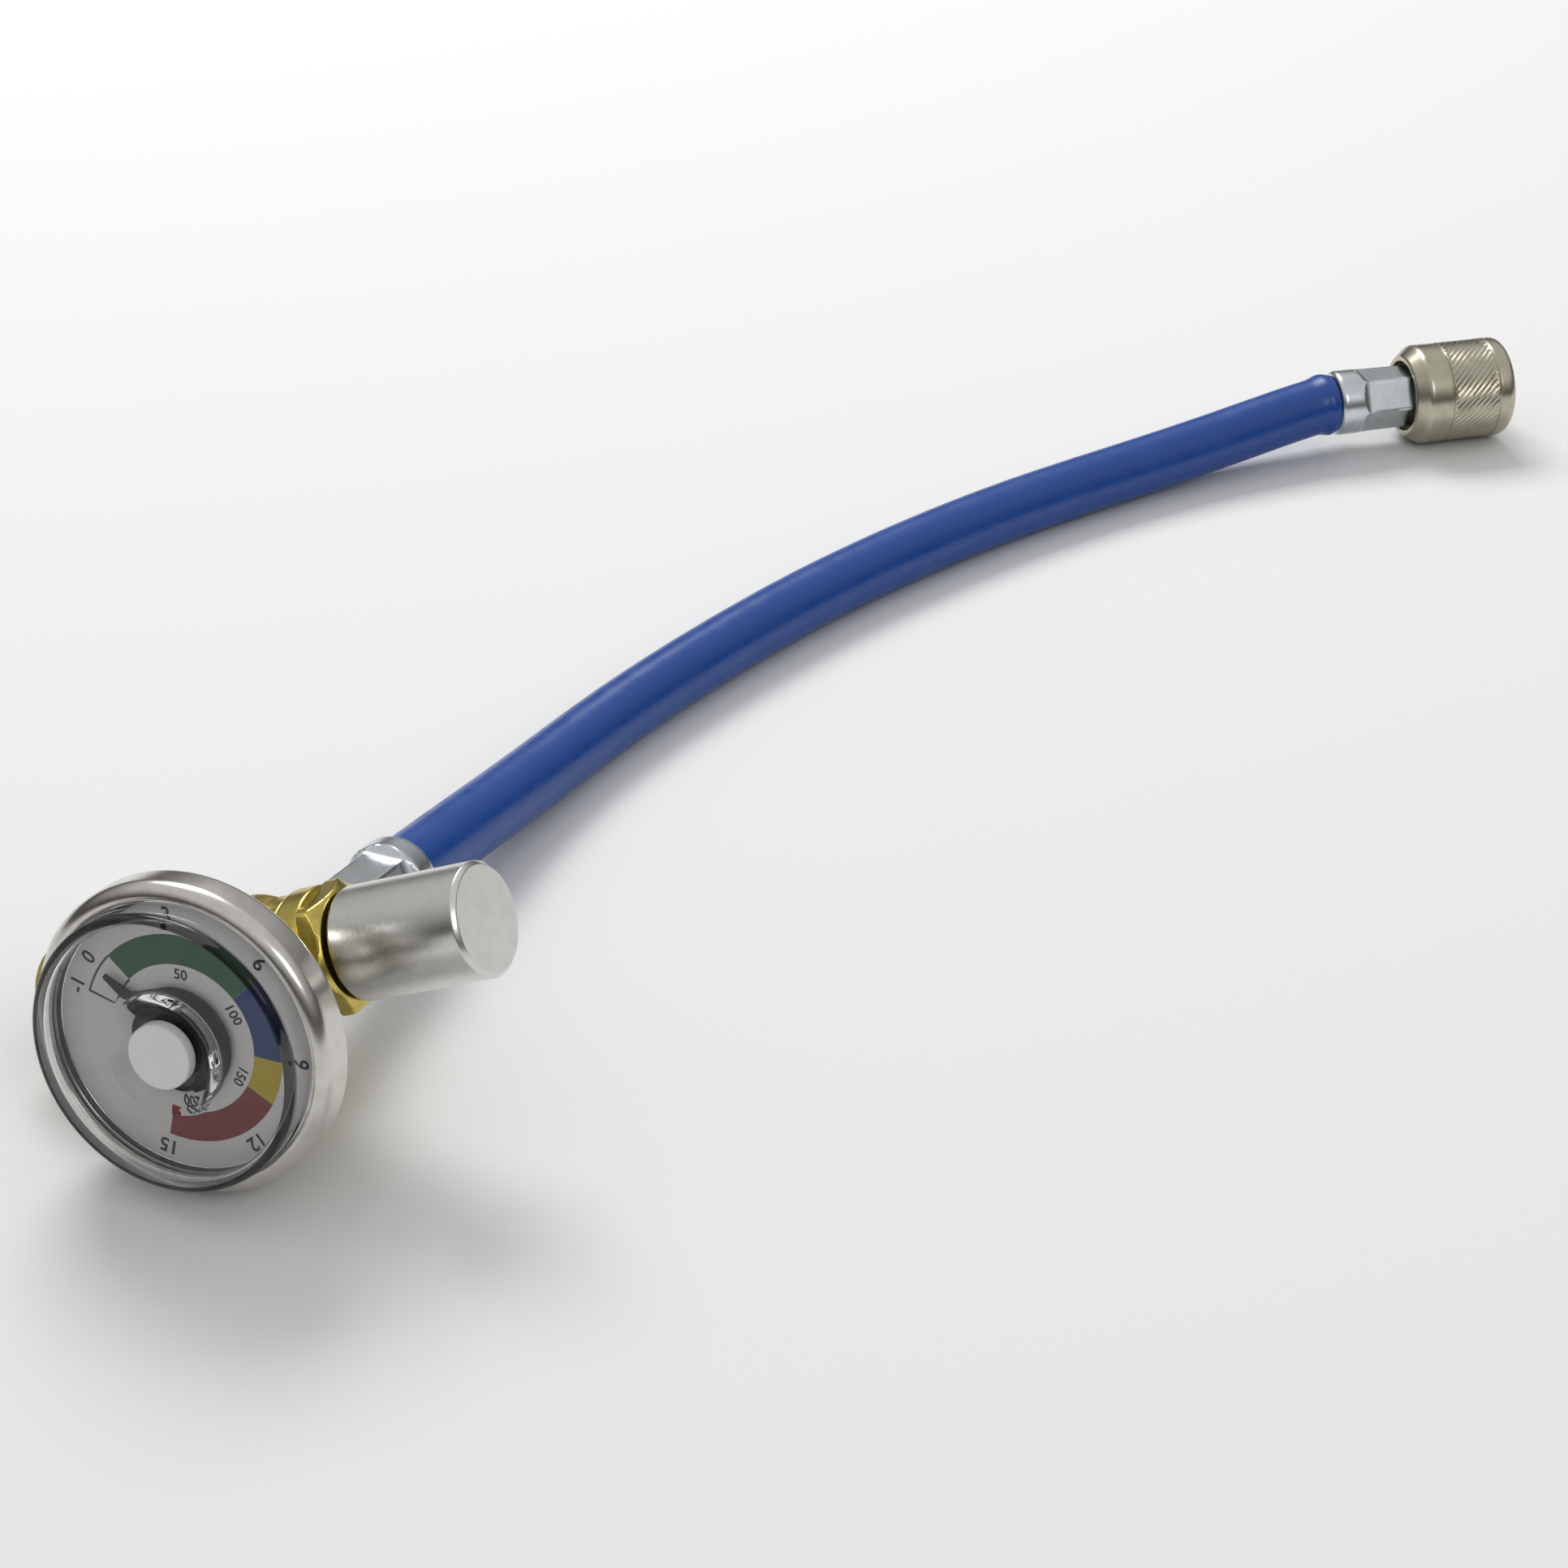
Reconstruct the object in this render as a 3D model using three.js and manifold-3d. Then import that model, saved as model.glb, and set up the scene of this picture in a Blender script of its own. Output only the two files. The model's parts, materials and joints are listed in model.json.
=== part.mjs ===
// Charging tap with a 40 mm pressure gauge and a short hose that ends in a swivel nut.
// Millimetres, +Z up. The gauge faces -Y, the hose leaves towards +Y, the tap's knob is on +X.
import * as THREE from 'three';
import { mergeVertices } from 'three/addons/utils/BufferGeometryUtils.js';
import Module from 'manifold-3d';

const wasm = await Module();
wasm.setup();

// Clearance between pieces that touch, screw or slide together
const clearance = 0.3;

// How far joined shapes run into each other, and how far a cutting tool runs past a surface
const overlap = 0.5;
const past = 1;

// How the assembly lies: the gauge leans back, and the tap stands on the rim of its can socket
const gaugeTilt = THREE.MathUtils.degToRad(10);
const tapAboveStem = 1.8;
const bodyAt = new THREE.Vector2(-0.55, -3.45);

// Gauge, measured along its own axis from the middle of the bezel, front side negative
const gaugeReach = 18.3;
const bezelLipWidth = 2.1;
const bezelFront = 3.3;
const bezelBack = 2.6;
const bezelWall = 0.8;
const bezelFrontRound = 2.0;
const bezelBackRound = 1.2;
const bezelLipRound = 0.25;
const lensRadius = 18.2;
const lensReach = 7.5;
const lensWall = 1.2;
const lensFace = 1.4;
const lensFlange = 0.5;
const lensRimRound = 0.7;
const lensInnerRound = 0.4;
const dishRadius = 7.2;
const dishDepth = 1.8;
const dishFloorRadius = 5.2;
const dishWall = 0.9;
const plugRadius = 4.25;
const plugProud = 0.2;
const plugRound = 0.2;
const plugStemRadius = 2.3;
const dialThickness = 0.5;
const dialHoleRadius = 1.4;
const caseWall = 0.8;
const caseDepth = 8.5;
const caseCorner = 4.0;
const caseRimWidth = 2.5;
const flangeThickness = 2.4;

// Pointer: a disc with one needle, and the spindle that turns it
const scaleStart = -76;
const scaleSweep = 264;
const scaleLow = -1;
const scaleHigh = 15;
const pointerDiscRadius = 7.1;
const pointerThickness = 0.4;
const pointerAboveDial = 0.6;
const needleReach = 12.4;
const needleRootWidth = 2.6;
const needleTipWidth = 0.6;
const hubRadius = 1.8;
const hubHeight = 0.9;
const arborRadius = 0.6;
const arborPastDisc = 0.1;
const movementRadius = 9.0;
const movementDepth = 4.6;

// Stem between the gauge and the tap
const stemNeckRadius = 4.0;
const stemShankRadius = 4.6;
const stemShankLength = 4.5;

// Tap body, along the tap's own axis, with the can socket on the negative side
const barrelRadius = 7.7;
const socketEnd = 31.1;
const socketRadius = 6.1;
const socketDepth = 10.0;
const barrelEnd = 7.1;
const flangeRadius = 10.4;
const flangeBackReach = 2.0;
const bossRadius = 6.0;
const bossReach = 13.0;
const gasPassageRadius = 1.5;
const edgeBreak = 0.6;
const barrelEdge = 0.3;
const sealThickness = 1.6;
const sealRadius = 5.6;

// Bonnet: a round collar and a hexagon, screwed into the body
const collarRadius = 8.2;
const collarLength = 3.7;
const collarEdge = 0.5;
const bonnetHexAcross = 15.0;
const bonnetHexLength = 3.1;
const bonnetHexChamfer = 1.4;
const bonnetHexChamferIn = 0.3;
const bonnetHexTurn = THREE.MathUtils.degToRad(8);
const bonnetNeckRadius = 4.0;
const bonnetNeckLength = 5.0;

// Spindle and knob
const spindleRadius = 1.9;
const spindleTip = 24.5;
const spindleTipLength = 3.0;
const spindleTipRadius = 0.4;
const knobRadius = 7.35;
const knobLength = 19.2;
const knobChamfer = 0.5;
const knobGap = 0.6;
const knobBoreDepth = 6.0;

// Hose, its two crimped ferrules and the swivel nut
const hoseRadius = 5.0;
const hoseSides = 12;
const hoseSteps = 16;
const hoseStraight = 2.5;
const ferruleBore = 1.8;
const crimpAcross = 9.6;
const crimpLead = 1.2;
const nearCollarRadius = 6.1;
const farCollarRadius = 5.7;
const ferruleCollarLength = 4.0;
const ferruleConeLength = 2.4;
const ferruleConeStep = 0.2;
const ferruleShoulder = 1.2;
const ferruleRound = 0.6;
const ferruleMouthRound = 1.0;
const nearFerruleLength = 21.7;
const farFerruleLength = 16.0;
const nutRadius = 8.8;
const nutLength = 18.5;
const nutBackBevel = 2.2;
const nutFrontRound = 1.6;
const nutBackRim = 0.8;
const nutBackEdge = 0.3;
const nutBevelEdge = 0.5;
const nutBackBoreRadius = 6.2;
const nutBackBoreDepth = 3.2;
const nutSocketRadius = 5.5;
const nutSocketDepth = 9.5;
const nippleRadius = 3.4;
const nippleHeadRadius = 5.0;
const nippleHeadLength = 2.0;
const gasketThickness = 1.8;
const farAngle = THREE.MathUtils.degToRad(36);
const hosePoints = [
  [0.3, 50, 8.8],
  [0.9, 62, 7.0],
  [2.0, 76, 5.5],
  [3.9, 91, 5.0],
  [7.5, 106.5, 5.0],
  [11.9, 122, 5.0],
  [16.8, 137.2, 5.0],
  [22.5, 151.4, 5.0],
  [28.8, 165.1, 5.0],
  [35.7, 178.4, 5.0],
  [43.2, 190.7, 5.0],
  [51.2, 202.4, 5.1],
  [59.6, 213.6, 5.7],
  [68.6, 224.6, 7.0],
];
const hoseEnd = new THREE.Vector3(79.6, 236.0, nutRadius);

// Finishes
const finish = (color, roughness, metalness, more = {}) =>
  new THREE.MeshStandardMaterial({ color, roughness, metalness, ...more });
const nickel = finish(0xb9b7ad, 0.28, 1);
const brass = finish(0xb59a45, 0.32, 1);
const zinc = finish(0xaeb6ba, 0.35, 1);
const aluminium = finish(0xb4b4b0, 0.4, 1);
const steel = finish(0x8f9092, 0.4, 1);
const clear = finish(0xf2f4f4, 0.05, 0, { transparent: true, opacity: 0.3 });
const white = finish(0xe2e2e0, 0.5, 0);
const dialWhite = finish(0xd9d7d4, 0.6, 0);
const black = finish(0x1d1d20, 0.5, 0);
const rubber = finish(0x202020, 0.8, 0);
const blue = finish(0x1f4aa6, 0.45, 0);

// Number of sides of the turned pieces, by size
const wideSides = 44;
const middleSides = 28;
const smallSides = 16;
const arcSteps = 3;

// A closed outline with the corners that carry a radius rounded by short arcs
function outline(corners) {
  const points = [];
  corners.forEach(([x, y, radius = 0], i) => {
    const corner = new THREE.Vector2(x, y);
    if (radius === 0) {
      points.push(corner);
      return;
    }
    const last = corners[(i + corners.length - 1) % corners.length];
    const next = corners[(i + 1) % corners.length];
    const back = new THREE.Vector2(last[0], last[1]).sub(corner);
    const ahead = new THREE.Vector2(next[0], next[1]).sub(corner);
    const room = 0.49 * Math.min(back.length(), ahead.length());
    const half = Math.acos(back.clone().normalize().dot(ahead.clone().normalize())) / 2;
    const reach = Math.min(radius / Math.tan(half), room);
    const middle = back.clone().normalize().add(ahead.clone().normalize()).normalize();
    const centre = corner.clone().addScaledVector(middle, reach / Math.cos(half));
    const start = corner.clone().addScaledVector(back.normalize(), reach).sub(centre);
    const end = corner.clone().addScaledVector(ahead.normalize(), reach).sub(centre);
    const sweep = Math.atan2(start.cross(end), start.dot(end));
    for (let k = 0; k <= arcSteps; k += 1) {
      const turn = (sweep * k) / arcSteps;
      points.push(start.clone().rotateAround(new THREE.Vector2(), turn).add(centre));
    }
  });
  return points;
}

// One closed triangle mesh: shared corners merged, flat triangles dropped
function welded(geometry) {
  geometry.deleteAttribute('uv');
  geometry.deleteAttribute('normal');
  const merged = mergeVertices(geometry, 1e-5);
  const index = merged.getIndex().array;
  const kept = [];
  for (let i = 0; i < index.length; i += 3) {
    const [a, b, c] = [index[i], index[i + 1], index[i + 2]];
    if (a !== b && b !== c && c !== a) {
      kept.push(a, b, c);
    }
  }
  merged.setIndex(kept);
  return merged;
}

// A solid turned about Y from corners given as [radius, height along the axis, rounding]
function turned(corners, sides) {
  const profile = outline(corners);
  if (THREE.ShapeUtils.area(profile) < 0) {
    profile.reverse();
  }
  if (profile[0].x > 0) {
    profile.push(profile[0].clone());
  }
  return welded(new THREE.LatheGeometry(profile, sides));
}

// A plain round bar about Y
function bar(radius, from, to, sides = middleSides) {
  return turned([[0, from], [radius, from], [radius, to], [0, to]], sides);
}

// A tube about Y
function tube(outer, inner, from, to, sides = middleSides) {
  return turned([[inner, from], [outer, from], [outer, to], [inner, to]], sides);
}

// A hexagonal bar about Y, given by its size across flats
function hexBar(across, from, to) {
  const cornerRadius = across / 2 / Math.cos(Math.PI / 6);
  const geometry = new THREE.CylinderGeometry(cornerRadius, cornerRadius, to - from, 6);
  geometry.translate(0, (from + to) / 2, 0);
  return welded(geometry);
}

function toSolid(geometry) {
  return new wasm.Manifold(new wasm.Mesh({
    numProp: 3,
    vertProperties: new Float32Array(geometry.getAttribute('position').array),
    triVerts: new Uint32Array(geometry.getIndex().array),
  }));
}

function toGeometry(solid) {
  const mesh = solid.getMesh();
  const geometry = new THREE.BufferGeometry();
  geometry.setAttribute('position', new THREE.BufferAttribute(mesh.vertProperties, 3));
  geometry.setIndex(new THREE.BufferAttribute(mesh.triVerts, 1));
  return geometry;
}

function join(...geometries) {
  return toGeometry(geometries.map(toSolid).reduce((sum, solid) => sum.add(solid)));
}

function cut(geometry, ...tools) {
  return toGeometry(tools.map(toSolid).reduce((rest, tool) => rest.subtract(tool), toSolid(geometry)));
}

function intersect(geometry, other) {
  return toGeometry(toSolid(geometry).intersect(toSolid(other)));
}

// Groups: the whole part, the leaning assembly, the gauge's head, the tap and the far end
const part = new THREE.Group();
const assembly = new THREE.Group();
const gaugeHead = new THREE.Group();
const tap = new THREE.Group();
const farEnd = new THREE.Group();

function add(group, name, geometry, material) {
  geometry.computeVertexNormals();
  const mesh = new THREE.Mesh(geometry, material);
  mesh.name = name;
  group.add(mesh);
  return mesh;
}

// Bezel: a rounded ring of channel section that grips the lens and the case
const bezelRadius = lensRadius + clearance + bezelLipWidth;
const gripRadius = bezelRadius - bezelWall - clearance;
const caseRadius = gripRadius - caseRimWidth;
const bezelCorners = [
  [lensRadius + clearance, -bezelFront, bezelLipRound],
  [bezelRadius, -bezelFront, bezelFrontRound],
  [bezelRadius, bezelBack, bezelBackRound],
  [caseRadius + clearance, bezelBack],
  [caseRadius + clearance, bezelBack - bezelWall],
  [bezelRadius - bezelWall, bezelBack - bezelWall],
  [bezelRadius - bezelWall, -bezelFront + bezelWall],
  [lensRadius + clearance, -bezelFront + bezelWall],
];
add(gaugeHead, 'bezel', turned(bezelCorners, wideSides), nickel);

// Lens: a clear cup with a flange under the bezel and a dish around its centre plug
const lensFlangeFront = -bezelFront + bezelWall + clearance;
const lensBack = lensFlangeFront + lensFlange;
add(gaugeHead, 'lens', turned([
  [plugStemRadius + clearance, -lensReach + dishDepth],
  [dishFloorRadius, -lensReach + dishDepth],
  [dishRadius, -lensReach],
  [lensRadius, -lensReach, lensRimRound],
  [lensRadius, lensFlangeFront],
  [gripRadius, lensFlangeFront],
  [gripRadius, lensBack],
  [lensRadius - lensWall, lensBack],
  [lensRadius - lensWall, -lensReach + lensFace, lensInnerRound],
  [dishRadius + dishWall, -lensReach + lensFace],
  [dishFloorRadius + dishWall, -lensReach + dishDepth + lensFace],
  [plugStemRadius + clearance, -lensReach + dishDepth + lensFace],
], wideSides), clear);

// Centre plug of the lens
const plugSeat = -lensReach + dishDepth - clearance;
add(gaugeHead, 'lens_plug', turned([
  [0, -lensReach - plugProud],
  [plugRadius, -lensReach - plugProud, plugRound],
  [plugRadius, plugSeat],
  [plugStemRadius, plugSeat],
  [plugStemRadius, -lensReach + dishDepth + lensFace],
  [0, -lensReach + dishDepth + lensFace],
], middleSides), white);

// Dial plate, held between the lens and the case
const dialFront = lensBack + clearance;
const dialBack = dialFront + dialThickness;
add(gaugeHead, 'dial', tube(gripRadius - clearance, dialHoleRadius, dialFront, dialBack, wideSides), dialWhite);

// Pointer: disc, needle and hub, turned to where the scale reads zero
const zeroAngle = THREE.MathUtils.degToRad(scaleStart - (scaleLow * scaleSweep) / (scaleHigh - scaleLow));
const pointerBack = dialFront - pointerAboveDial;
const pointerFront = pointerBack - pointerThickness;
const needleShape = new THREE.Shape([
  new THREE.Vector2(-needleRootWidth / 2, 0),
  new THREE.Vector2(needleRootWidth / 2, 0),
  new THREE.Vector2(needleTipWidth / 2, needleReach),
  new THREE.Vector2(-needleTipWidth / 2, needleReach),
]);
const needle = new THREE.ExtrudeGeometry(needleShape, { depth: pointerThickness, bevelEnabled: false });
needle.rotateX(Math.PI / 2);
needle.translate(0, pointerBack, 0);
needle.rotateY(zeroAngle);
const pointerDisc = join(
  bar(pointerDiscRadius, pointerFront, pointerBack),
  bar(hubRadius, pointerFront - hubHeight, pointerBack, smallSides),
  welded(needle),
);
const arborFront = pointerFront - arborPastDisc;
const hubBore = bar(arborRadius + clearance, arborFront - clearance, dialFront, smallSides);
add(gaugeHead, 'pointer', cut(pointerDisc, hubBore), black);

// Movement: a plain drum that carries the pointer's arbor
const stemNeckFront = caseDepth - caseWall - clearance;
const movementBack = stemNeckFront - clearance;
add(gaugeHead, 'movement', join(
  bar(movementRadius, movementBack - movementDepth, movementBack),
  bar(arborRadius, arborFront, movementBack - movementDepth / 2, smallSides),
), brass);

// Case: a pressed cup with a rim behind the dial and a hole for the stem
const caseFront = dialBack + clearance;
const rimBack = Math.min(caseFront + flangeThickness, bezelBack - bezelWall - clearance);
add(gaugeHead, 'gauge_case', turned([
  [stemNeckRadius + clearance, caseDepth],
  [caseRadius, caseDepth, caseCorner],
  [caseRadius, rimBack],
  [caseRadius + caseRimWidth, rimBack],
  [caseRadius + caseRimWidth, caseFront],
  [caseRadius - caseWall, caseFront],
  [caseRadius - caseWall, caseDepth - caseWall, caseCorner - caseWall],
  [stemNeckRadius + clearance, caseDepth - caseWall],
], wideSides), nickel);

// Stem: a neck in the case and a thicker shank in the tap body
const shankFront = caseDepth + clearance;
const shankBack = shankFront + stemShankLength;
add(gaugeHead, 'gauge_stem', turned([
  [0, stemNeckFront],
  [stemNeckRadius, stemNeckFront],
  [stemNeckRadius, shankFront],
  [stemShankRadius, shankFront],
  [stemShankRadius, shankBack],
  [0, shankBack],
], middleSides), brass);

gaugeHead.position.set(0, -gaugeReach, 0);
assembly.add(gaugeHead);

// The gauge stands on its bezel: its height comes from the lowest point of the leaning rim
const bezelLow = Math.max(...outline(bezelCorners).map(
  (point) => point.x * Math.cos(gaugeTilt) + point.y * Math.sin(gaugeTilt),
));
const axisHeight = bezelLow - gaugeReach * Math.sin(gaugeTilt);

// The tap leans until the rim of its can socket meets the floor
const barrelCorners = [
  [0, -socketEnd],
  [barrelRadius, -socketEnd, edgeBreak],
  [barrelRadius, barrelEnd, barrelEdge],
  [0, barrelEnd],
];
function socketRimHeight(lean) {
  const up = Math.cos(gaugeTilt);
  const slope = Math.sin(lean) * up;
  const middle = axisHeight + tapAboveStem * Math.cos(lean) * up;
  return middle - Math.max(...outline(barrelCorners).map(
    (point) => point.x * Math.sqrt(1 - slope * slope) - point.y * slope,
  ));
}
let tapLean = 0;
let tapLeanHigh = Math.PI / 3;
for (let i = 0; i < 50; i += 1) {
  const lean = (tapLean + tapLeanHigh) / 2;
  if (socketRimHeight(lean) > 0) {
    tapLean = lean;
  } else {
    tapLeanHigh = lean;
  }
}

// The tap's own axis is its local Y, and the gauge's axis is across it
const intoTap = new THREE.Matrix4()
  .makeRotationY(-tapLean)
  .multiply(new THREE.Matrix4().makeTranslation(0, 0, tapAboveStem))
  .multiply(new THREE.Matrix4().makeRotationZ(-Math.PI / 2));
intoTap.decompose(tap.position, tap.quaternion, tap.scale);
assembly.add(tap);
const fromTap = intoTap.clone().invert();

function acrossTap(geometry) {
  return geometry.applyMatrix4(fromTap);
}

// Tap body: barrel with the can socket, a wide flange for the gauge and a boss for the hose
const flangeFront = shankFront + clearance - gaugeReach;
const socketFloor = -socketEnd + socketDepth;
const bonnetNeckEnd = barrelEnd + clearance - bonnetNeckLength;
const shankEnd = shankBack - gaugeReach;
const bodySolid = join(
  turned(barrelCorners, middleSides),
  acrossTap(turned([
    [0, flangeFront],
    [flangeRadius, flangeFront, edgeBreak],
    [flangeRadius, flangeBackReach, edgeBreak],
    [0, flangeBackReach],
  ], middleSides)),
  acrossTap(turned([
    [0, 0],
    [bossRadius, 0],
    [bossRadius, bossReach, edgeBreak],
    [0, bossReach],
  ], middleSides)),
);
add(tap, 'tap_body', cut(
  bodySolid,
  bar(socketRadius, -socketEnd - past, socketFloor),
  bar(spindleRadius + clearance, socketFloor - past, barrelEnd + past, smallSides),
  bar(bonnetNeckRadius + clearance, bonnetNeckEnd - clearance, barrelEnd + past),
  bar(collarRadius + clearance, barrelEnd, barrelEnd + flangeRadius),
  acrossTap(bar(stemShankRadius + clearance, flangeFront - past, shankEnd + clearance)),
  acrossTap(bar(gasPassageRadius, shankEnd, bossReach + past, smallSides)),
), brass);

// Seal washer on the floor of the can socket
const sealFront = socketFloor - clearance;
add(tap, 'can_seal', tube(
  sealRadius,
  spindleRadius + 2 * clearance,
  sealFront - sealThickness,
  sealFront,
), rubber);

// Bonnet: threaded neck, round collar and chamfered hexagon
const collarFrom = barrelEnd + clearance;
const hexFrom = collarFrom + collarLength;
const hexTo = hexFrom + bonnetHexLength;
const bonnetHexCorner = bonnetHexAcross / 2 / Math.cos(Math.PI / 6);
const chamferedHex = intersect(
  hexBar(bonnetHexAcross, hexFrom - overlap, hexTo),
  turned([
    [0, hexFrom - past],
    [bonnetHexCorner + past, hexFrom - past],
    [bonnetHexCorner + past, hexTo - bonnetHexChamfer],
    [bonnetHexAcross / 2 - bonnetHexChamferIn, hexTo],
    [0, hexTo],
  ], middleSides),
);
chamferedHex.rotateY(bonnetHexTurn);
add(tap, 'bonnet', cut(
  join(
    bar(bonnetNeckRadius, bonnetNeckEnd, collarFrom + overlap),
    turned([
      [0, collarFrom],
      [collarRadius, collarFrom, collarEdge],
      [collarRadius, hexFrom, collarEdge],
      [0, hexFrom],
    ], middleSides),
    chamferedHex,
  ),
  bar(spindleRadius + clearance, bonnetNeckEnd - past, hexTo + past, smallSides),
), brass);

// Spindle with its piercing tip in the can socket, and the knob on its other end
const knobFrom = hexTo + knobGap;
const knobTo = knobFrom + knobLength;
add(tap, 'spindle', turned([
  [0, -spindleTip],
  [spindleTipRadius, -spindleTip],
  [spindleRadius, -spindleTip + spindleTipLength],
  [spindleRadius, knobFrom + knobBoreDepth - clearance],
  [0, knobFrom + knobBoreDepth - clearance],
], smallSides), steel);
add(tap, 'knob', cut(
  turned([
    [0, knobFrom],
    [knobRadius - knobChamfer, knobFrom],
    [knobRadius, knobFrom + knobChamfer],
    [knobRadius, knobTo - knobChamfer],
    [knobRadius - knobChamfer, knobTo],
    [0, knobTo],
  ], middleSides),
  bar(spindleRadius + clearance, knobFrom - past, knobFrom + knobBoreDepth, smallSides),
), aluminium);

// Ferrule: shoulder, six-sided crimp, cone and the round collar that the hose enters
function ferrule(length, collarRadiusHere) {
  const collarStart = length - ferruleCollarLength;
  const coneStart = collarStart - ferruleConeLength;
  const crimpOuter = crimpAcross / 2 / Math.cos(Math.PI / 6) + ferruleConeStep;
  const shoulderRadius = crimpAcross / 2;
  return cut(
    join(
      turned([
        [0, 0],
        [shoulderRadius, 0, ferruleRound],
        [shoulderRadius, ferruleShoulder + overlap],
        [0, ferruleShoulder + overlap],
      ], middleSides),
      intersect(
        hexBar(crimpAcross, ferruleShoulder, collarStart),
        turned([
          [0, ferruleShoulder],
          [shoulderRadius, ferruleShoulder],
          [crimpOuter, ferruleShoulder + crimpLead],
          [crimpOuter, collarStart],
          [0, collarStart],
        ], middleSides),
      ),
      turned([
        [0, coneStart],
        [shoulderRadius - ferruleConeStep, coneStart],
        [collarRadiusHere, collarStart, ferruleRound],
        [collarRadiusHere, length, ferruleMouthRound],
        [0, length],
      ], middleSides),
    ),
    bar(ferruleBore, -past, length + past, smallSides),
  );
}
const nearFerrule = add(assembly, 'near_ferrule', ferrule(nearFerruleLength, nearCollarRadius), zinc);
nearFerrule.position.set(0, bossReach + clearance, 0);

assembly.position.set(0, 0, axisHeight);
assembly.rotation.x = -gaugeTilt;
part.add(assembly);

// Hose: one length of tube from the near ferrule's mouth to the far one's
const leaving = new THREE.Vector3(0, Math.cos(gaugeTilt), -Math.sin(gaugeTilt));
const arriving = new THREE.Vector3(Math.cos(farAngle), Math.sin(farAngle), 0);
const mouth = new THREE.Vector3(0, 0, axisHeight)
  .addScaledVector(leaving, bossReach + nearFerruleLength + 2 * clearance);
const hoseRoute = new THREE.CatmullRomCurve3([
  mouth,
  mouth.clone().addScaledVector(leaving, hoseStraight),
  ...hosePoints.map((point) => new THREE.Vector3(...point)),
  hoseEnd.clone().addScaledVector(arriving, -hoseStraight),
  hoseEnd,
], false, 'centripetal');
const hoseSection = new THREE.Shape(Array.from({ length: hoseSides }, (_, i) => {
  const turn = ((i + 0.5) * 2 * Math.PI) / hoseSides;
  return new THREE.Vector2(hoseRadius * Math.cos(turn), hoseRadius * Math.sin(turn));
}));
add(part, 'hose', welded(new THREE.ExtrudeGeometry(hoseSection, {
  steps: hoseSteps,
  bevelEnabled: false,
  extrudePath: hoseRoute,
})), blue);

// Far end: its local Y runs along the hose, from the hose's end to the nut's mouth
farEnd.position.copy(hoseEnd).addScaledVector(arriving, clearance);
farEnd.rotation.z = farAngle - Math.PI / 2;
part.add(farEnd);
const farFerruleGeometry = ferrule(farFerruleLength, farCollarRadius);
farFerruleGeometry.rotateX(Math.PI);
farFerruleGeometry.translate(0, farFerruleLength, 0);
add(farEnd, 'far_ferrule', farFerruleGeometry, zinc);

// Nipple: a tail behind the nut's inner shoulder and a head in front of it
const nippleFrom = farFerruleLength + clearance;
const nutFrom = farFerruleLength - nutBackBoreDepth + 2 * clearance;
const nutTo = nutFrom + nutLength;
const nutShoulderFrom = nutFrom + nutBackBoreDepth;
const nutShoulderTo = nutTo - nutSocketDepth;
const headFrom = nutShoulderTo + clearance;
const headTo = headFrom + nippleHeadLength;
add(farEnd, 'nipple', cut(
  join(
    bar(nippleRadius, nippleFrom, headFrom + overlap),
    bar(nippleHeadRadius, headFrom, headTo),
  ),
  bar(ferruleBore, nippleFrom - past, headTo + past, smallSides),
), steel);

// Gasket against the nipple's head
add(farEnd, 'nut_gasket', tube(
  nippleHeadRadius,
  ferruleBore + clearance,
  headTo + clearance,
  headTo + clearance + gasketThickness,
), rubber);

// Swivel nut: bevelled back, plain band, round front edge, bored from both ends
add(farEnd, 'swivel_nut', cut(
  turned([
    [0, nutFrom],
    [nutBackBoreRadius + nutBackRim, nutFrom, nutBackEdge],
    [nutRadius, nutFrom + nutBackBevel, nutBevelEdge],
    [nutRadius, nutTo, nutFrontRound],
    [0, nutTo],
  ], middleSides),
  bar(nutBackBoreRadius, nutFrom - past, nutShoulderFrom),
  bar(nippleRadius + clearance, nutFrom, nutTo, smallSides),
  bar(nutSocketRadius, nutShoulderTo, nutTo + past),
), nickel);

part.position.set(bodyAt.x, bodyAt.y, 0);

const model = new THREE.Group();
model.add(part);
export default model;
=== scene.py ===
"""Looks of a pressure gauge on a charging tap, with a short hose and a swivel nut."""
import json
import math

import bmesh
import bpy
from mathutils import Matrix, Vector


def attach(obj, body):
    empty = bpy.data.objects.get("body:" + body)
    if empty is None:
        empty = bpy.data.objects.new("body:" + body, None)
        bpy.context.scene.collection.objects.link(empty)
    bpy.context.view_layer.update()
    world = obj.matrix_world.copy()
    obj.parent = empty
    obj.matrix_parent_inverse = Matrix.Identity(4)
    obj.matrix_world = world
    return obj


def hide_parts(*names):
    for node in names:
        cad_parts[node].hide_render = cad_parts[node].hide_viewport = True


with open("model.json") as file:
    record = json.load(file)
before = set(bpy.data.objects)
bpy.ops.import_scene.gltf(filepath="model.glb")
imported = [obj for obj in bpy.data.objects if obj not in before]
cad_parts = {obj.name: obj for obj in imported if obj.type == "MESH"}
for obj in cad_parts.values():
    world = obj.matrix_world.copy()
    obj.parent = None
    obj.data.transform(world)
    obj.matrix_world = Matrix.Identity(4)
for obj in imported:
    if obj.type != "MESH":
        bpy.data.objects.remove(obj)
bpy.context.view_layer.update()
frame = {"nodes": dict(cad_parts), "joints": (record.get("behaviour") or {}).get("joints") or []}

# Profiles and places below are in millimetres, and the frame is in metres
MM = 0.001
CLEARANCE = 0.3

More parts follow.
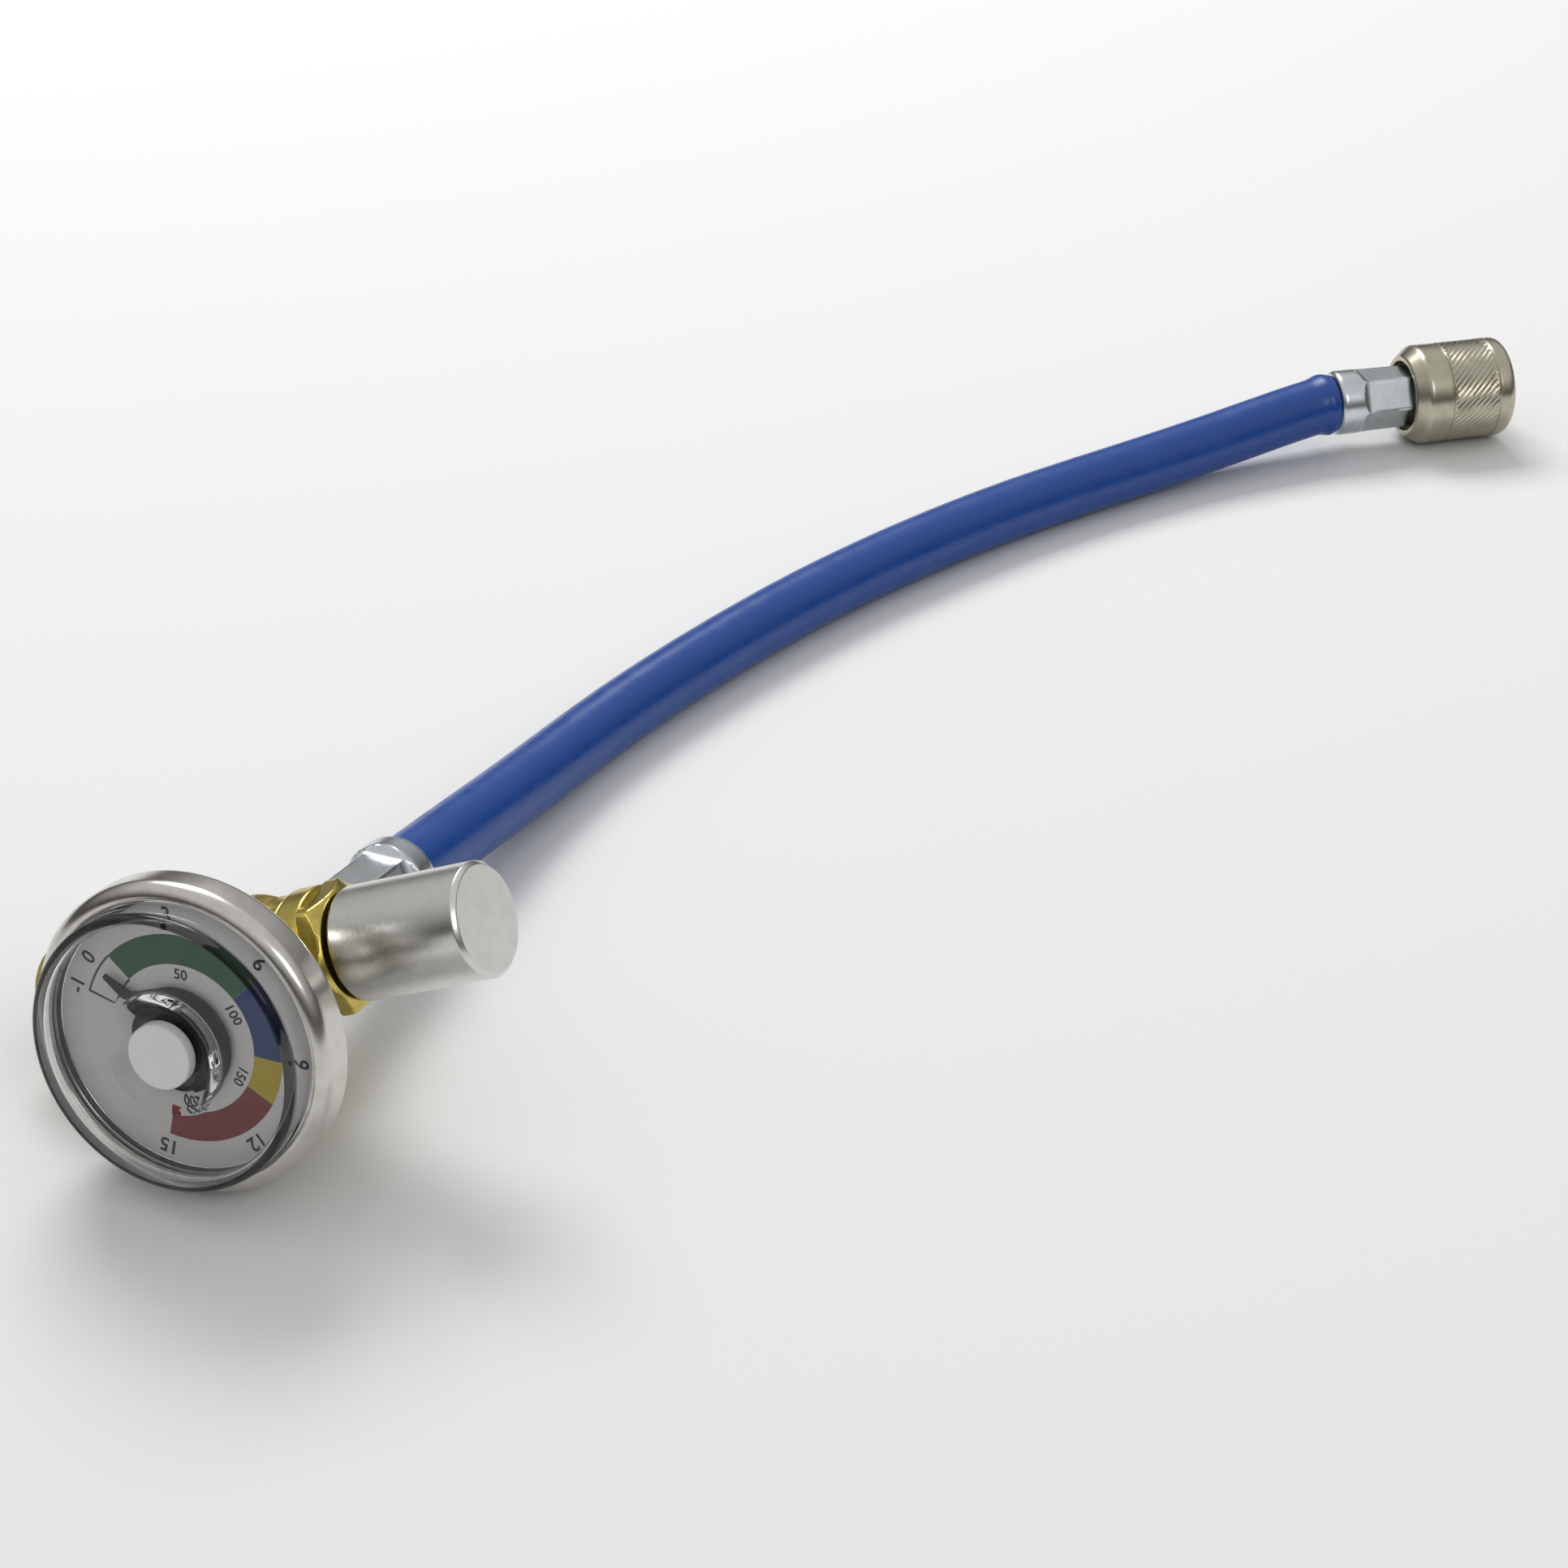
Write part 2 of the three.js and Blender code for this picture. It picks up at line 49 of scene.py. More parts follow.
# Places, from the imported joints: the bezel's middle, the tap's own origin and the nut's back
JOINTS = {joint["name"]: joint for joint in frame["joints"]}
GAUGE_TILT = math.radians(10)
GAUGE_REACH = 18.3
TAP_ABOVE_STEM = 1.8
BOSS_REACH = 13.0
NEAR_FERRULE_LENGTH = 21.7
FAR_FERRULE_LENGTH = 16.0
NUT_FROM = 13.4
NUT_LENGTH = 18.5
FAR_ANGLE = math.radians(36)


def joint_place(name):
    return Vector(JOINTS[name]["pos_m"])


def placed(origin, *turns):
    """A matrix that takes a profile in millimetres to its place in the frame."""
    matrix = Matrix.Translation(origin)
    for turn in turns:
        matrix = matrix @ turn
    return matrix @ Matrix.Scale(MM, 4)


leaning = Matrix.Rotation(-GAUGE_TILT, 4, "X")
along_gauge = leaning @ Vector((0, 1, 0))
bezel_middle = joint_place("pointer_turn")
crossing = bezel_middle + along_gauge * GAUGE_REACH * MM
tap_lean = math.acos(JOINTS["knob_turn"]["axis"][0])
tap_turns = (
    leaning,
    Matrix.Rotation(-tap_lean, 4, "Y"),
    Matrix.Translation((0, 0, TAP_ABOVE_STEM * MM)),
    Matrix.Rotation(-math.pi / 2, 4, "Z"),
)
nut_axis = Vector(JOINTS["nut_spin"]["axis"])
far_origin = joint_place("nut_spin") - nut_axis * NUT_FROM * MM
far_turn = Matrix.Rotation(FAR_ANGLE - math.pi / 2, 4, "Z")

AT_GAUGE = placed(bezel_middle, leaning)
AT_CROSSING = placed(crossing, leaning)
AT_TAP = placed(crossing, *tap_turns)
AT_NEAR = placed(crossing + along_gauge * (BOSS_REACH + CLEARANCE) * MM, leaning)
AT_FAR = placed(far_origin, far_turn)

# Camera: the photograph's place, direction and lens
camera_data = bpy.data.cameras.new("camera")
camera_data.sensor_width = 36
camera_data.lens = 73.62
camera_data.clip_start = 0.01
camera_data.clip_end = 20
camera = bpy.data.objects.new("camera", camera_data)
camera.location = (0.185769, -0.287273, 0.25242)
camera.rotation_euler = (math.radians(58.2), 0, math.radians(22.17))
bpy.context.scene.collection.objects.link(camera)
bpy.context.scene.camera = camera

# Hose route: the same points as the hose's solid, in metres
HOSE_RADIUS = 5.0
HOSE_STRAIGHT = 2.5
BODY_AT = Vector((-0.55, -3.45, 0))
HOSE_POINTS = [
    (0.3, 50, 8.8), (0.9, 62, 7.0), (2.0, 76, 5.5), (3.9, 91, 5.0), (7.5, 106.5, 5.0),
    (11.9, 122, 5.0), (16.8, 137.2, 5.0), (22.5, 151.4, 5.0), (28.8, 165.1, 5.0),
    (35.7, 178.4, 5.0), (43.2, 190.7, 5.0), (51.2, 202.4, 5.1), (59.6, 213.6, 5.7),
    (68.6, 224.6, 7.0),
]
hose_mouth = crossing + along_gauge * (BOSS_REACH + NEAR_FERRULE_LENGTH + 2 * CLEARANCE) * MM
hose_end = far_origin - nut_axis * CLEARANCE * MM
route = [
    hose_mouth,
    hose_mouth + along_gauge * HOSE_STRAIGHT * MM,
    *[(Vector(point) + BODY_AT) * MM for point in HOSE_POINTS],
    hose_end - nut_axis * HOSE_STRAIGHT * MM,
    hose_end,
]


def between(a, b, low, high, t):
    """The point at t on the line that is at a where t is low and at b where t is high."""
    return (a * (high - t) + b * (t - low)) / (high - low)


def through(points, steps):
    """Points on a smooth curve through the given ones, closer together than those."""
    chain = [points[0] * 2 - points[1], *points, points[-1] * 2 - points[-2]]
    found = []
    for i in range(len(chain) - 3):
        four = chain[i:i + 4]
        knots = [0.0]
        for a, b in zip(four, four[1:]):
            knots.append(knots[-1] + math.sqrt((b - a).length))
        for k in range(steps):
            t = knots[1] + (knots[2] - knots[1]) * k / steps
            lines = [between(four[j], four[j + 1], knots[j], knots[j + 1], t) for j in range(3)]
            bends = [between(lines[j], lines[j + 1], knots[j], knots[j + 2], t) for j in range(2)]
            found.append(between(bends[0], bends[1], knots[1], knots[2], t))
    found.append(points[-1].copy())
    return found


def evened(points, passes):
    """The same curve with its small waves taken out, and its ends left in place."""
    for _ in range(passes):
        inner = [(a + b * 2 + c) / 4 for a, b, c in zip(points, points[1:], points[2:])]
        points = [points[0], *inner, points[-1]]
    return points


CURVE_STEPS = 12
EVENING_PASSES = 120
centreline = evened(through(route, CURVE_STEPS), EVENING_PASSES)
hose_length = sum((b - a).length for a, b in zip(centreline, centreline[1:]))

# Node groups


def new_group(name, inputs, outputs):
    group = bpy.data.node_groups.new(name, "ShaderNodeTree")
    for socket_name, kind, value in inputs:
        socket = group.interface.new_socket(socket_name, in_out="INPUT", socket_type=kind)
        if value is not None:
            socket.default_value = value
    for socket_name, kind in outputs:
        group.interface.new_socket(socket_name, in_out="OUTPUT", socket_type=kind)
    ins = group.nodes.new("NodeGroupInput")
    outs = group.nodes.new("NodeGroupOutput")
    return group, ins, outs


def wire(tree, node, **sockets):
    """Gives a node's sockets, named by number or name, a value or a link."""
    for key, value in sockets.items():
        socket = node.inputs[int(key[1:])] if key[1:].isdigit() else node.inputs[key]
        if isinstance(value, bpy.types.NodeSocket):
            tree.links.new(value, socket)
        else:
            socket.default_value = value
    return node


def maths(tree, operation, *values, clamp=False):
    node = tree.nodes.new("ShaderNodeMath")
    node.operation = operation
    node.use_clamp = clamp
    wire(tree, node, **{f"_{i}": value for i, value in enumerate(values)})
    return node.outputs[0]


def noise(tree, vector, scale, detail=3.0, roughness=0.55):
    node = tree.nodes.new("ShaderNodeTexNoise")
    tree.links.new(vector, node.inputs["Vector"])
    for name, value in (("Scale", scale), ("Detail", detail), ("Roughness", roughness)):
        if isinstance(value, bpy.types.NodeSocket):
            tree.links.new(value, node.inputs[name])
        else:
            node.inputs[name].default_value = value
    return node.outputs["Fac"]


def ranged(tree, value, low, high, to_low=0.0, to_high=1.0):
    node = tree.nodes.new("ShaderNodeMapRange")
    node.clamp = True
    wire(tree, node, _0=value, _1=low, _2=high, _3=to_low, _4=to_high)
    return node.outputs[0]


def mixed(tree, factor, first, second):
    node = tree.nodes.new("ShaderNodeMix")
    node.data_type = "RGBA"
    wire(tree, node, _0=factor, _6=first, _7=second)
    return node.outputs[2]


def split_up(tree, vector):
    node = tree.nodes.new("ShaderNodeSeparateXYZ")
    tree.links.new(vector, node.inputs[0])
    return node.outputs


def off_axis(tree, parts):
    """Distance from the Y axis, from the three parts of a place."""
    squares = [maths(tree, "MULTIPLY", parts[i], parts[i]) for i in (0, 2)]
    return maths(tree, "SQRT", maths(tree, "ADD", *squares))


def turned_surface_group():
    """Fine rings left by turning, cloudy wear and small marks on a bright metal."""
    tree, ins, outs = new_group(
        "turned_surface",
        [
            ("Vector", "NodeSocketVector", None),
            ("Colour", "NodeSocketColor", (0.6, 0.6, 0.6, 1)),
            ("Stain", "NodeSocketColor", (0.3, 0.3, 0.3, 1)),
            ("Rings", "NodeSocketFloat", 0.2),
            ("Stains", "NodeSocketFloat", 0.3),
            ("Roughness", "NodeSocketFloat", 0.3),
            ("Spread", "NodeSocketFloat", 0.15),
        ],
        [("Colour", "NodeSocketColor"), ("Roughness", "NodeSocketFloat"), ("Height", "NodeSocketFloat")],
    )
    vector = ins.outputs["Vector"]
    parts = split_up(tree, vector)
    ring_place = tree.nodes.new("ShaderNodeCombineXYZ")
    wire(tree, ring_place, _0=off_axis(tree, parts), _1=parts[1])
    rings = noise(tree, ring_place.outputs[0], 6.0, 4.0, 0.7)
    clouds = noise(tree, vector, 0.35, 5.0, 0.6)
    specks = noise(tree, vector, 2.4, 4.0, 0.65)
    cloudy = ranged(tree, clouds, 0.45, 0.7)
    speckled = ranged(tree, specks, 0.6, 0.75, 0.0, 0.6)
    marks = maths(tree, "ADD", cloudy, speckled, clamp=True)
    stain = maths(tree, "MULTIPLY", marks, ins.outputs["Stains"])
    tree.links.new(mixed(tree, stain, ins.outputs["Colour"], ins.outputs["Stain"]), outs.inputs["Colour"])
    spread = maths(tree, "MULTIPLY", maths(tree, "SUBTRACT", clouds, 0.45), ins.outputs["Spread"])
    fine = maths(tree, "MULTIPLY", maths(tree, "SUBTRACT", rings, 0.5), ins.outputs["Rings"])
    rough = maths(tree, "ADD", ins.outputs["Roughness"], maths(tree, "ADD", spread, fine))
    tree.links.new(maths(tree, "ADD", rough, 0.0, clamp=True), outs.inputs["Roughness"])
    height = maths(tree, "MULTIPLY", rings, ins.outputs["Rings"])
    tree.links.new(maths(tree, "ADD", height, maths(tree, "MULTIPLY", specks, 0.05)), outs.inputs["Height"])
    return tree


def sector_group():
    """Mask of a sector between two radii and two angles, clockwise from the top, used for the dial's print
    and the lens's painted dark reflection.
    """
    tree, ins, outs = new_group(
        "print_and_painted_reflection_sector",
        [
            ("Vector", "NodeSocketVector", None),
            ("Inner", "NodeSocketFloat", 9.0),
            ("Outer", "NodeSocketFloat", 13.0),
            ("Start", "NodeSocketFloat", 0.0),
            ("End", "NodeSocketFloat", 90.0),
        ],
        [("Mask", "NodeSocketFloat")],
    )
    parts = split_up(tree, ins.outputs["Vector"])
    across = off_axis(tree, parts)
    half = maths(tree, "MULTIPLY", maths(tree, "SUBTRACT", ins.outputs["End"], ins.outputs["Start"]), 0.5)
    middle = maths(tree, "ADD", ins.outputs["Start"], half)
    angle = maths(tree, "DEGREES", maths(tree, "ARCTAN2", parts[0], parts[2]))
    off = maths(tree, "WRAP", maths(tree, "SUBTRACT", angle, middle), 180.0, -180.0)
    beyond = maths(
        tree, "MULTIPLY",
        maths(tree, "RADIANS", maths(tree, "SUBTRACT", half, maths(tree, "ABSOLUTE", off))),
        across,
    )
    inside = ranged(tree, beyond, -0.03, 0.03)
    past_inner = ranged(tree, maths(tree, "SUBTRACT", across, ins.outputs["Inner"]), -0.03, 0.03)
    before_outer = ranged(tree, maths(tree, "SUBTRACT", ins.outputs["Outer"], across), -0.03, 0.03)
    ring = maths(tree, "MULTIPLY", past_inner, before_outer)
    tree.links.new(maths(tree, "MULTIPLY", ring, inside), outs.inputs["Mask"])
    return tree


def moulded_surface_group():
    """Slight unevenness, dust and rub marks of rubber and plastic."""
    tree, ins, outs = new_group(
        "moulded_surface",
        [
            ("Vector", "NodeSocketVector", None),
            ("Colour", "NodeSocketColor", (0.1, 0.1, 0.1, 1)),
            ("Dust", "NodeSocketColor", (0.4, 0.4, 0.4, 1)),
            ("Dusty", "NodeSocketFloat", 0.1),
            ("Grain", "NodeSocketFloat", 0.3),
            ("Roughness", "NodeSocketFloat", 0.4),
        ],
        [("Colour", "NodeSocketColor"), ("Roughness", "NodeSocketFloat"), ("Height", "NodeSocketFloat")],
    )
    vector = ins.outputs["Vector"]
    clouds = noise(tree, vector, 0.22, 4.0, 0.6)
    grain = noise(tree, vector, 7.0, 3.0, 0.6)
    specks = noise(tree, vector, 3.1, 2.0, 0.5)
    cloudy = ranged(tree, clouds, 0.4, 0.75)
    speckled = ranged(tree, specks, 0.66, 0.74)
    marks = maths(tree, "ADD", cloudy, speckled, clamp=True)
    dust = maths(tree, "MULTIPLY", marks, ins.outputs["Dusty"])
    tree.links.new(mixed(tree, dust, ins.outputs["Colour"], ins.outputs["Dust"]), outs.inputs["Colour"])
    uneven = maths(tree, "MULTIPLY", maths(tree, "SUBTRACT", clouds, 0.5), 0.25)
    rough = maths(tree, "ADD", ins.outputs["Roughness"], uneven)
    tree.links.new(maths(tree, "ADD", rough, dust, clamp=True), outs.inputs["Roughness"])
    fine = maths(tree, "MULTIPLY", grain, ins.outputs["Grain"])
    height = maths(tree, "ADD", fine, maths(tree, "MULTIPLY", clouds, 2.0))
    tree.links.new(height, outs.inputs["Height"])
    return tree


TURNED = turned_surface_group()
SECTOR = sector_group()
MOULDED = moulded_surface_group()


def blank(name):
    material = bpy.data.materials.new(name)
    material.use_nodes = True
    return material, material.node_tree, material.node_tree.nodes["Principled BSDF"]


def local_place(tree, place):
    """The point's place in millimetres from a piece's own origin, along its own axes."""
    coordinates = tree.nodes.new("ShaderNodeTexCoord")
    mapping = tree.nodes.new("ShaderNodeMapping")
    mapping.vector_type = "TEXTURE"
    location, rotation, _ = place.decompose()
    mapping.inputs["Location"].default_value = location
    mapping.inputs["Rotation"].default_value = rotation.to_euler()
    mapping.inputs["Scale"].default_value = (MM, MM, MM)
    tree.links.new(coordinates.outputs["Object"], mapping.inputs["Vector"])
    return mapping.outputs[0]


def grouped(tree, group, **sockets):
    node = tree.nodes.new("ShaderNodeGroup")
    node.node_tree = group
    for name, value in sockets.items():
        if isinstance(value, bpy.types.NodeSocket):
            tree.links.new(value, node.inputs[name])
        else:
            node.inputs[name].default_value = value
    return node


def finished(tree, shader, surface, relief):
    bump = tree.nodes.new("ShaderNodeBump")
    bump.inputs["Distance"].default_value = relief * MM
    bump.inputs["Strength"].default_value = 1.0
    tree.links.new(surface.outputs["Height"], bump.inputs["Height"])
    tree.links.new(surface.outputs["Colour"], shader.inputs["Base Color"])
    tree.links.new(surface.outputs["Roughness"], shader.inputs["Roughness"])
    tree.links.new(bump.outputs[0], shader.inputs["Normal"])


def metal(name, place, colour, stain, rings, stains, roughness, spread=0.15, relief=0.02):
    material, tree, shader = blank(name)
    shader.inputs["Metallic"].default_value = 1.0
    surface = grouped(
        tree, TURNED, Vector=local_place(tree, place), Colour=(*colour, 1), Stain=(*stain, 1),
        Rings=rings, Stains=stains, Roughness=roughness, Spread=spread,
    )
    finished(tree, shader, surface, relief)
    return material


def moulded(name, place, colour, dust, dusty, grain, roughness, relief=0.01):
    material, tree, shader = blank(name)
    surface = grouped(
        tree, MOULDED, Vector=local_place(tree, place), Colour=(*colour, 1), Dust=(*dust, 1),
        Dusty=dusty, Grain=grain, Roughness=roughness,
    )
    finished(tree, shader, surface, relief)
    return material


NICKEL = (0.66, 0.64, 0.60)
NICKEL_STAIN = (0.36, 0.33, 0.28)
BRASS = (0.62, 0.50, 0.13)
BRASS_STAIN = (0.30, 0.19, 0.04)
ZINC = (0.62, 0.67, 0.69)
ZINC_STAIN = (0.40, 0.44, 0.46)
ALUMINIUM = (0.70, 0.70, 0.68)
ALUMINIUM_STAIN = (0.42, 0.41, 0.38)
STEEL = (0.50, 0.50, 0.50)
NUT_PLATE = (0.50, 0.47, 0.37)
NUT_STAIN = (0.30, 0.27, 0.19)
HOSE_BLUE = (0.004, 0.055, 0.28)
HOSE_DUST = (0.03, 0.11, 0.34)
RUBBER = (0.02, 0.02, 0.02)
RUBBER_DUST = (0.1, 0.1, 0.1)
POINTER_PAINT = (0.008, 0.007, 0.009)
POINTER_DUST = (0.03, 0.03, 0.03)
PRINT_INK = (0.03, 0.03, 0.035)
PRINT_DUST = (0.08, 0.08, 0.08)
PLUG_WHITE = (0.74, 0.74, 0.73)
PLUG_DUST = (0.55, 0.54, 0.52)

bezel_nickel = metal("bezel_nickel", AT_GAUGE, NICKEL, NICKEL_STAIN, 0.05, 0.25, 0.20)
case_nickel = metal("case_nickel", AT_GAUGE, NICKEL, NICKEL_STAIN, 0.05, 0.35, 0.26)
stem_brass = metal("stem_brass", AT_GAUGE, BRASS, BRASS_STAIN, 0.2, 0.5, 0.28)
tap_brass = metal("tap_brass", AT_TAP, BRASS, BRASS_STAIN, 0.12, 0.55, 0.24)
knob_aluminium = metal("knob_aluminium", AT_TAP, ALUMINIUM, ALUMINIUM_STAIN, 0.12, 0.16, 0.26, 0.08)
spindle_steel = metal("spindle_steel", AT_TAP, STEEL, NICKEL_STAIN, 0.1, 0.4, 0.3)
near_zinc = metal("near_zinc", AT_NEAR, ZINC, ZINC_STAIN, 0.05, 0.4, 0.24)
far_zinc = metal("far_zinc", AT_FAR, ZINC, ZINC_STAIN, 0.05, 0.4, 0.24)
nut_nickel = metal("nut_nickel", AT_FAR, NUT_PLATE, NUT_STAIN, 0.06, 0.35, 0.25)
nipple_steel = metal("nipple_steel", AT_FAR, STEEL, NICKEL_STAIN, 0.15, 0.4, 0.3)
hose_blue = moulded("hose_blue", AT_CROSSING, HOSE_BLUE, HOSE_DUST, 0.05, 0.04, 0.28)
seal_black = moulded("seal_black", AT_TAP, RUBBER, RUBBER_DUST, 0.3, 0.4, 0.6)
gasket_black = moulded("gasket_black", AT_FAR, RUBBER, RUBBER_DUST, 0.3, 0.4, 0.6)
pointer_black = moulded("pointer_black", AT_GAUGE, POINTER_PAINT, POINTER_DUST, 0.15, 0.15, 0.5)
print_black = moulded("print_black", AT_GAUGE, PRINT_INK, PRINT_DUST, 0.2, 0.1, 0.6)
plug_white = moulded("plug_white", AT_GAUGE, PLUG_WHITE, PLUG_DUST, 0.12, 0.15, 0.42)


# Painted dark reflection on the lens's outer edge: its radii, and where along the axis it fades
EDGE_INNER = 17.2
EDGE_OUTER = 18.6
EDGE_DARK_TO = -6.4
EDGE_CLEAR_FROM = -5.9


def clear_plastic(name):
    """Clear plastic with a painted dark reflection on its outer front edge, where thick clear edges look
    dark.
    """
    material, tree, shader = blank(name)
    shader.inputs["Transmission Weight"].default_value = 1.0
    shader.inputs["IOR"].default_value = 1.3
    here = local_place(tree, AT_GAUGE)
    tint = grouped(
        tree, MOULDED, Vector=here, Colour=(0.96, 0.96, 0.97, 1), Dust=(0.86, 0.86, 0.86, 1),
        Dusty=0.05, Grain=0.0, Roughness=0.03,
    )
    # painted reflection: a near-black ring mixed into the lens colour near its outer front edge
    edge = grouped(tree, SECTOR, Vector=here, Inner=EDGE_INNER, Outer=EDGE_OUTER, Start=-180.0, End=180.0)
    along = split_up(tree, here)[1]
    front = ranged(tree, along, EDGE_DARK_TO, EDGE_CLEAR_FROM, 0.97, 0.0)
    painted_reflection = maths(tree, "MULTIPLY", edge.outputs["Mask"], front)
    colour = mixed(tree, painted_reflection, tint.outputs["Colour"], (0.02, 0.02, 0.02, 1))
    tree.links.new(colour, shader.inputs["Base Color"])
    scratches = noise(tree, here, 1.3, 3.0, 0.6)
    tree.links.new(ranged(tree, scratches, 0.55, 0.8, 0.01, 0.06), shader.inputs["Roughness"])
    return material


def dial_print(name):
    """White dial with its coloured bands and the thin outline under the rest position."""
    material, tree, shader = blank(name)
    here = local_place(tree, AT_GAUGE)
    surface = grouped(
        tree, MOULDED, Vector=here, Colour=(0.80, 0.79, 0.77, 1), Dust=(0.62, 0.60, 0.57, 1),
        Dusty=0.25, Grain=0.2, Roughness=0.5,
    )
    colour = surface.outputs["Colour"]
    bands = [
        (-50.8, 44.4, (0.014, 0.115, 0.036)),
        (44.4, 89.6, (0.012, 0.045, 0.190)),
        (89.6, 115.2, (0.560, 0.420, 0.010)),
        (115.2, 188.4, (0.230, 0.012, 0.020)),
    ]
    for start, end, paint in bands:
        mask = grouped(tree, SECTOR, Vector=here, Inner=9.8, Outer=13.7, Start=start, End=end)
        colour = mixed(tree, mask.outputs["Mask"], colour, (*paint, 1))
    outer = grouped(tree, SECTOR, Vector=here, Inner=9.6, Outer=13.8, Start=-76.5, End=-50.8)
    inner = grouped(tree, SECTOR, Vector=here, Inner=9.9, Outer=13.5, Start=-75.0, End=-50.8)
    line = maths(tree, "SUBTRACT", outer.outputs["Mask"], inner.outputs["Mask"], clamp=True)
    colour = mixed(tree, line, colour, (0.03, 0.09, 0.05, 1))
    tree.links.new(colour, shader.inputs["Base Color"])
    tree.links.new(surface.outputs["Roughness"], shader.inputs["Roughness"])
    return material


lens_clear = clear_plastic("lens_clear")
dial_white = dial_print("dial_white")

# Shapes
FINE = 144
ROUND_STEPS = 5
SHARP = math.radians(32)


def profile(bm, corners, closed, gap):
    """A wire through corners given as (radius, place along the axis, rounding)."""
    verts = [bm.verts.new((corner[0], corner[1], 0.0)) for corner in corners]
    pairs = list(zip(verts, verts[1:]))
    if closed:
        pairs.append((verts[-1], verts[0]))
    for pair in pairs:
        bm.edges.new(pair)
    for vert, corner in zip(verts, corners):
        if len(corner) == 3:
            bmesh.ops.bevel(
                bm, geom=[vert], affect="VERTICES", offset=corner[2], offset_type="OFFSET",
                segments=ROUND_STEPS, profile=0.5, material=-1,
            )
    if gap:
        for edge in list(bm.edges):
            cuts = int(edge.calc_length() / gap)
            if cuts:
                bmesh.ops.subdivide_edges(bm, edges=[edge], cuts=cuts)


def turned_mesh(corners, closed=False, sides=FINE, gap=0.0, reshape=None):
    """A bmesh turned about Y; reshape(radius, along, angle) may press flats or cut knurls."""
    bm = bmesh.new()
    profile(bm, corners, closed, gap)
    bmesh.ops.spin(
        bm, geom=bm.verts[:] + bm.edges[:], cent=(0, 0, 0), axis=(0, 1, 0), dvec=(0, 0, 0),
        angle=math.tau, steps=sides, use_merge=True, use_normal_flip=False, use_duplicate=False,
    )
    bmesh.ops.remove_doubles(bm, verts=bm.verts, dist=1e-4)
    bmesh.ops.recalc_face_normals(bm, faces=bm.faces)
    if reshape:
        for vert in bm.verts:
            radius = math.hypot(vert.co.x, vert.co.z)
            if radius > 1e-6:
                factor = reshape(radius, vert.co.y, math.atan2(vert.co.x, vert.co.z)) / radius
                vert.co.x *= factor
                vert.co.z *= factor
    return bm


def as_object(name, bm, place, material):
    bm.transform(place)
    mesh = bpy.data.meshes.new(name)
    bm.to_mesh(mesh)
    bm.free()
    mesh.shade_smooth()
    mesh.set_sharp_from_angle(angle=SHARP)
    if material:
        mesh.materials.append(material)
    piece = bpy.data.objects.new(name, mesh)
    bpy.context.scene.collection.objects.link(piece)
    return piece


def weighted(piece):
    modifier = piece.modifiers.new("even_shading", "WEIGHTED_NORMAL")
    modifier.keep_sharp = True
    return piece


def joined(piece, others, operation):
    """Joins or cuts other meshes with this one and applies the result."""
    for other in others:
        modifier = piece.modifiers.new("shape", "BOOLEAN")
        modifier.operation = operation
        modifier.solver = "EXACT"
        modifier.object = other
    graph = bpy.context.evaluated_depsgraph_get()
    mesh = bpy.data.meshes.new_from_object(piece.evaluated_get(graph))
    piece.modifiers.clear()
    piece.data = mesh
    for other in others:
        bpy.data.objects.remove(other)
    return piece


def stands_for(piece, node, body):
    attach(piece, body)
    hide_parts(node)
    return piece


def turned(name, node, body, slot, corners, place, material, **how):
    piece = as_object(name, turned_mesh(corners, **how), place, material)
    return stands_for(weighted(piece), node, body)


ROOT = "gauge_and_tap"

# Bezel, lens, plug, dial and case
LENS_RADIUS = 18.2
BEZEL_RADIUS = 20.6
BEZEL_WALL = 0.8
BEZEL_FRONT = 3.3
BEZEL_BACK = 2.6
LENS_REACH = 7.5
LENS_WALL = 1.2
LENS_FACE = 1.4
GRIP_RADIUS = BEZEL_RADIUS - BEZEL_WALL - CLEARANCE
CASE_RADIUS = 17.0
LENS_FLANGE_FRONT = -BEZEL_FRONT + BEZEL_WALL + CLEARANCE
LENS_BACK = LENS_FLANGE_FRONT + 0.5
turned("bezel_ring", "bezel", ROOT, "bezel", [
    (LENS_RADIUS + CLEARANCE, -BEZEL_FRONT, 0.25),
    (BEZEL_RADIUS, -BEZEL_FRONT, 1.85),
    (BEZEL_RADIUS, BEZEL_BACK, 1.2),
    (CASE_RADIUS + CLEARANCE, BEZEL_BACK, 0.2),
    (CASE_RADIUS + CLEARANCE, BEZEL_BACK - BEZEL_WALL, 0.2),
    (BEZEL_RADIUS - BEZEL_WALL, BEZEL_BACK - BEZEL_WALL, 0.5),
    (BEZEL_RADIUS - BEZEL_WALL, -BEZEL_FRONT + BEZEL_WALL, 0.8),
    (LENS_RADIUS + CLEARANCE, -BEZEL_FRONT + BEZEL_WALL, 0.2),
], AT_GAUGE, bezel_nickel, closed=True, sides=192)

DISH_FLOOR = -LENS_REACH + 1.8
turned("lens_cup", "lens", ROOT, "lens", [
    (2.6, DISH_FLOOR, 0.1),
    (5.2, DISH_FLOOR, 0.6),
    (7.2, -LENS_REACH, 0.5),
    (LENS_RADIUS, -LENS_REACH, 0.9),
    (LENS_RADIUS, LENS_FLANGE_FRONT, 0.15),
    (GRIP_RADIUS, LENS_FLANGE_FRONT, 0.15),
    (GRIP_RADIUS, LENS_BACK, 0.1),
    (LENS_RADIUS - LENS_WALL, LENS_BACK, 0.1),
    (LENS_RADIUS - LENS_WALL, -LENS_REACH + LENS_FACE, 0.5),
    (8.1, -LENS_REACH + LENS_FACE, 0.5),
    (6.1, DISH_FLOOR + LENS_FACE, 0.5),
    (2.6, DISH_FLOOR + LENS_FACE, 0.1),
], AT_GAUGE, lens_clear, closed=True, sides=192)

